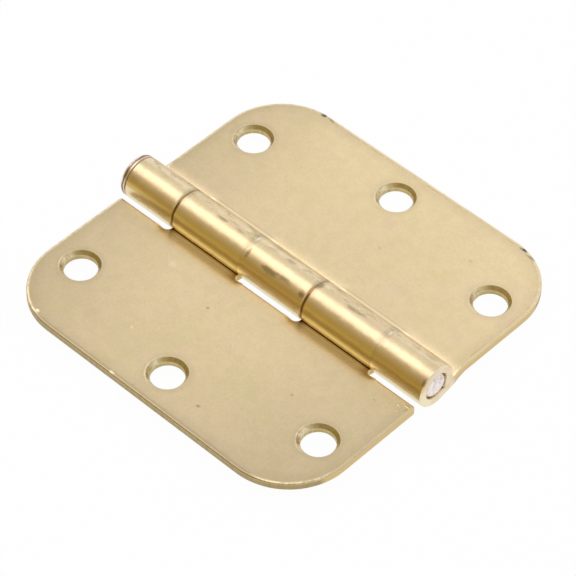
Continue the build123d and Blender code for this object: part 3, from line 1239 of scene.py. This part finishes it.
@dataclass
class TwoKnuckleLeaf:
    """The leaf at -Y, with the two knuckles between, and the burrs that its stamping left.

    Its rims are rings: two fill its chamfers at the tight seams, and two lie on the floor of the open ones.
    A lump of the burrs is its place on the leaf and its half sizes, in millimetres. The sink is the share of
    the half height by which a lump's middle lies under the leaf's top.
    """

    nodes: dict[str, bpy.types.Object]
    effects: Effects
    half_length: float = 44.45 * MM
    near_holes: Pair = (35.8 * MM, -27.2 * MM)
    far_hole: float = -36.0 * MM
    cut_outs: tuple[Span, ...] = (
        (-43.5 * MM, -30.1 * MM),
        (-9.3 * MM, 9.3 * MM),
        (30.1 * MM, 43.5 * MM),
    )
    smudge: Colour = (0.3, 0.21, 0.11)
    dark_speck: Colour = (0.3, 0.24, 0.15)
    light_speck: Colour = (0.97, 0.86, 0.62)
    lumps: tuple[tuple[Pair, Point], ...] = (
        ((43.0, -7.6), (1.3, 0.5, 0.26)),
        ((43.5, -9.0), (0.5, 1.3, 0.26)),
        ((41.4, -8.5), (0.8, 0.4, 0.2)),
        ((42.2, -9.7), (0.4, 0.9, 0.2)),
    )
    lump_sink: float = 0.8
    lump_subdivisions: int = 4
    rims: tuple[Section, ...] = (
        ((-9.5, 5.225), (-9.79, 5.225), (-9.5, 4.95), (-9.38, 4.95), (-9.38, 5.225)),
        ((29.9, 5.225), (29.61, 5.225), (29.9, 4.95), (30.02, 4.95), (30.02, 5.225)),
        ((9.52, 4.7), (9.52, 4.98), (9.38, 4.98), (9.38, 4.7)),
        ((-29.92, 4.7), (-29.92, 4.98), (-30.02, 4.98), (-30.02, 4.7)),
    )

    def marks(self) -> tuple[Mark, ...]:
        """Return the leaf's smudges and specks in their places.

        Returns:
            The marks, the lowest first.
        """
        return (
            Mark(on_barrel(-18.6, 0.0), reach(1.7, 0.5), self.smudge, 0.6),
            Mark(on_barrel(-13.6, 0.0), reach(1.4, 0.5), self.smudge, 0.45),
            Mark(on_barrel(20.4, -4.0), reach(2.6, 0.6), self.smudge, 0.6),
            Mark(on_barrel(10.3, -5.0), reach(0.7, 1.0), self.smudge, 0.7),
            Mark(on_leaf(-6.9, -16.8), reach(0.45, 0.4), self.dark_speck, 0.75),
            Mark(on_leaf(11.1, -38.0), reach(0.6, 0.5), self.dark_speck, 0.75),
            Mark(on_leaf(23.3, -22.1), reach(0.45, 0.4), self.dark_speck, 0.5),
            Mark(on_leaf(-32.9, -42.9), reach(0.6, 0.4), self.light_speck, 0.9),
            Mark(on_leaf(-36.3, -42.6), reach(0.35, 0.5), self.light_speck, 0.9),
            Mark(on_leaf(-8.8, -44.0), reach(0.7, 0.4), self.light_speck, 0.6),
            Mark(on_leaf(-14.8, -32.1), reach(0.5, 0.35), self.light_speck, 0.35),
            Mark(on_leaf(-21.9, -12.9), reach(1.3, 0.8), self.light_speck, 0.22),
            Mark(on_leaf(36.7, -11.1), reach(0.4, 0.3), self.dark_speck, 0.4),
        )

    def dress(self) -> list[str]:
        """Give the leaf its plating, its corner's burrs and its knuckles' rims.

        Returns:
            The names of the dressed node, of the burrs and of the rims.
        """
        finish = SatinBrass(
            name="two_knuckle_leaf_plating",
            half_length=self.half_length,
            holes=leaf_holes(self.near_holes, self.far_hole),
            cut_outs=self.cut_outs,
            marks=self.marks(),
            # Painted shade towards the ends, the far edge and the -Y edge and over the whole leaf, no painted
            # highlight on the -Y rim, a painted highlight in the crevice and golden painted reflections low
            # on the barrel's front.
            head_end_tone=0.84,
            tip_end_tone=0.88,
            far_edge_tone=0.84,
            whole_tone=0.97,
            crevice_painted_highlight=1.0,
            back_shine=0.25,
            near_edge_light=0.0,
            near_edge_tone=0.83,
            golden=(0.74, 0.54, 0.14),
        )
        material = finish.material(self.effects)
        dress(self.nodes[Node.LEAF_TWO.value], material)
        pieces = [self.burrs(material), add_ring("two_knuckle_rims", self.rims, material)]
        for piece in pieces:
            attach(piece, Node.LEAF_TWO.value)
        return [Node.LEAF_TWO.value] + [piece.name for piece in pieces]

    def burrs(self, material: bpy.types.Material) -> bpy.types.Object:
        """Lay the low burrs at the leaf's corner beside the barrel.

        Args:
            material: The leaf's plating.

        Returns:
            The burrs, as one piece.
        """
        shape = bmesh.new()
        for (along, across), (length, width, height) in self.lumps:
            sunk = Vector((BARREL_MIDDLE, 0.0, AXIS_HEIGHT - self.lump_sink * height * MM))
            stretch = Matrix.Diagonal(Vector((length, width, height)) * MM).to_4x4()
            place = Matrix.Translation(Vector(on_leaf(along, across)) + sunk)
            bmesh.ops.create_icosphere(
                shape, subdivisions=self.lump_subdivisions, radius=1.0, matrix=place @ stretch
            )
        piece = add_object("corner_burrs", shape, material)
        piece.data.shade_smooth()
        return piece


@dataclass
class Pin:
    """The loose pin with its button head, and a collar in the gap between the head and the barrel."""

    nodes: dict[str, bpy.types.Object]
    effects: Effects
    collar: Section = ((-44.71, 4.3), (-44.71, 5.0), (-44.58, 5.0), (-44.58, 4.3))

    def dress(self) -> list[str]:
        """Give the pin its plating, its bare tip and its collar.

        Returns:
            The names of the dressed node and of the collar.
        """
        material = PinSteel(name="pin_steel").material(self.effects)
        dress(self.nodes[Node.PIN.value], material)
        collar = add_ring("pin_collar", (self.collar,), material)
        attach(collar, Node.PIN.value)
        return [Node.PIN.value, collar.name]


@dataclass
class Studio:
    """A white floor, a soft surround, a long soft box overhead and the camera."""

    floor_size: float = 4.0
    floor_colour: Colour = (0.86, 0.86, 0.86)
    camera_white: float = 0.97
    mirrored_white: float = 0.97
    sky: Colour = (0.93, 0.95, 0.98)
    sky_direction: Point = (0.25, 0.93, 0.0)
    sky_from: Span = (-0.6, 0.3)
    low_side: Colour = (0.47, 0.355, 0.115)
    high_side: Colour = (0.5, 0.43, 0.29)
    high_from: Span = (-0.1, 0.8)
    box_direction: Point = (-0.46, -0.09, 0.88)
    box_distance: float = 0.7
    box_size: Pair = (0.75, 0.44)
    box_radiance: float = 1.44
    box_colour: Colour = (0.99, 0.98, 1.1)
    camera_azimuth: float = 43.506
    camera_elevation: float = 47.59
    camera_roll: float = 0.301
    camera_distance: float = 688.263 * MM
    camera_shift_right: float = 0.722 * MM
    camera_shift_up: float = -1.101 * MM
    camera_clip_start: float = 10.0 * MM
    focal_length_px: float = 3159.22

    def build(self) -> list[str]:
        """Build the whole studio.

        Returns:
            The names of its parts.
        """
        self.build_floor()
        self.build_surround()
        self.build_soft_box()
        self.build_camera()
        return ["floor", "surround", "soft box", "camera"]

    def build_floor(self) -> None:
        """Lay a plain floor under the hinge, white to the camera and in the metal's gloss."""
        shape = bmesh.new()
        bmesh.ops.create_grid(shape, x_segments=1, y_segments=1, size=self.floor_size / 2)
        material = bpy.data.materials.new("white_floor")
        material.use_nodes = True
        material.node_tree.nodes.clear()
        graph = Graph(material.node_tree)
        diffuse = graph.add("BsdfDiffuse")
        graph.feed(diffuse, "Color", self.floor_colour)
        glow = graph.add("Emission")
        graph.feed(glow, "Strength", 1.0)
        ray = graph.add("LightPath")
        seen = graph.math("MAXIMUM", ray.outputs["Is Camera Ray"], ray.outputs["Is Transmission Ray"])
        mirrored = graph.math("MULTIPLY", ray.outputs["Is Glossy Ray"], self.mirrored_white)
        share = graph.math("MAXIMUM", graph.math("MULTIPLY", seen, self.camera_white), mirrored)
        mixer = graph.add("MixShader")
        graph.feed(mixer, 0, share)
        graph.feed(mixer, 1, diffuse.outputs[0])
        graph.feed(mixer, 2, glow.outputs[0])
        output = graph.add("OutputMaterial")
        graph.feed(output, "Surface", mixer.outputs[0])
        add_object("floor", shape, material)

    def build_surround(self) -> None:
        """Set the world: bright on the +Y side, dimmer and warmer on the -Y side, white to the camera."""
        world = bpy.data.worlds.new("surround")
        bpy.context.scene.world = world
        world.use_nodes = True
        world.node_tree.nodes.clear()
        graph = Graph(world.node_tree)
        direction = graph.add("TexCoord").outputs["Generated"]
        bright = graph.ramp(graph.measure("DOT_PRODUCT", direction, self.sky_direction), *self.sky_from)
        high = graph.ramp(graph.split(direction)[2], *self.high_from)
        side = graph.mix(high, self.low_side, self.high_side)
        colour = graph.mix(bright, side, self.sky)
        ray = graph.add("LightPath")
        background = graph.add("Background")
        graph.feed(background, "Color", graph.mix(ray.outputs["Is Camera Ray"], colour, (1.0, 1.0, 1.0)))
        output = graph.add("OutputWorld")
        graph.feed(output, "Surface", background.outputs[0])

    def build_soft_box(self) -> None:
        """Hang the long soft box whose light runs along the barrel."""
        lamp = bpy.data.lights.new("soft_box", "AREA")
        lamp.shape = "RECTANGLE"
        lamp.size, lamp.size_y = self.box_size
        lamp.energy = self.box_radiance * math.pi * lamp.size * lamp.size_y
        lamp.color = self.box_colour
        soft_box = bpy.data.objects.new("soft_box", lamp)
        bpy.context.scene.collection.objects.link(soft_box)
        direction = Vector(self.box_direction).normalized()
        across = direction.cross(Vector((1.0, 0.0, 0.0))).normalized()
        along = across.cross(direction)
        turn = Matrix((along, across, direction)).transposed().to_4x4()
        soft_box.matrix_world = Matrix.Translation(direction * self.box_distance) @ turn

    def build_camera(self) -> None:
        """Set the camera where the photograph was taken from, looking at the middle of the leaves' top."""
        azimuth, elevation, roll = (
            math.radians(angle) for angle in (self.camera_azimuth, self.camera_elevation, self.camera_roll)
        )
        level = math.cos(elevation)
        back = Vector((math.sin(azimuth) * level, -math.cos(azimuth) * level, math.sin(elevation)))
        right = Vector((math.cos(azimuth), math.sin(azimuth), 0.0))
        up = back.cross(right)
        shift = right * self.camera_shift_right + up * self.camera_shift_up
        place = Vector((BARREL_MIDDLE, 0.0, LEAF_TOP)) + back * self.camera_distance + shift
        rolled_right = math.cos(roll) * right + math.sin(roll) * up
        rolled_up = math.cos(roll) * up - math.sin(roll) * right
        camera = bpy.data.cameras.new("camera")
        camera.sensor_width = SENSOR_WIDTH_MM
        camera.lens = self.focal_length_px * SENSOR_WIDTH_MM / IMAGE_SIZE_PX
        camera.clip_start = self.camera_clip_start
        viewer = bpy.data.objects.new("camera", camera)
        bpy.context.scene.collection.objects.link(viewer)
        turn = Matrix((rolled_right, rolled_up, back)).transposed().to_4x4()
        viewer.matrix_world = Matrix.Translation(place) @ turn
        bpy.context.scene.camera = viewer


def main() -> None:
    """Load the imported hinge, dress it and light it."""
    logging.basicConfig(level=logging.INFO, format="%(name)s: %(message)s")
    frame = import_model()
    bpy.context.scene.view_settings.view_transform = "Standard"
    effects = Effects()
    for assembly in (ThreeKnuckleLeaf, TwoKnuckleLeaf, Pin):
        for piece in assembly(frame["nodes"], effects).dress():
            LOG.info("dressed %s", piece)
    for part in Studio().build():
        LOG.info("set up %s", part)


if __name__ == "__main__":
    main()
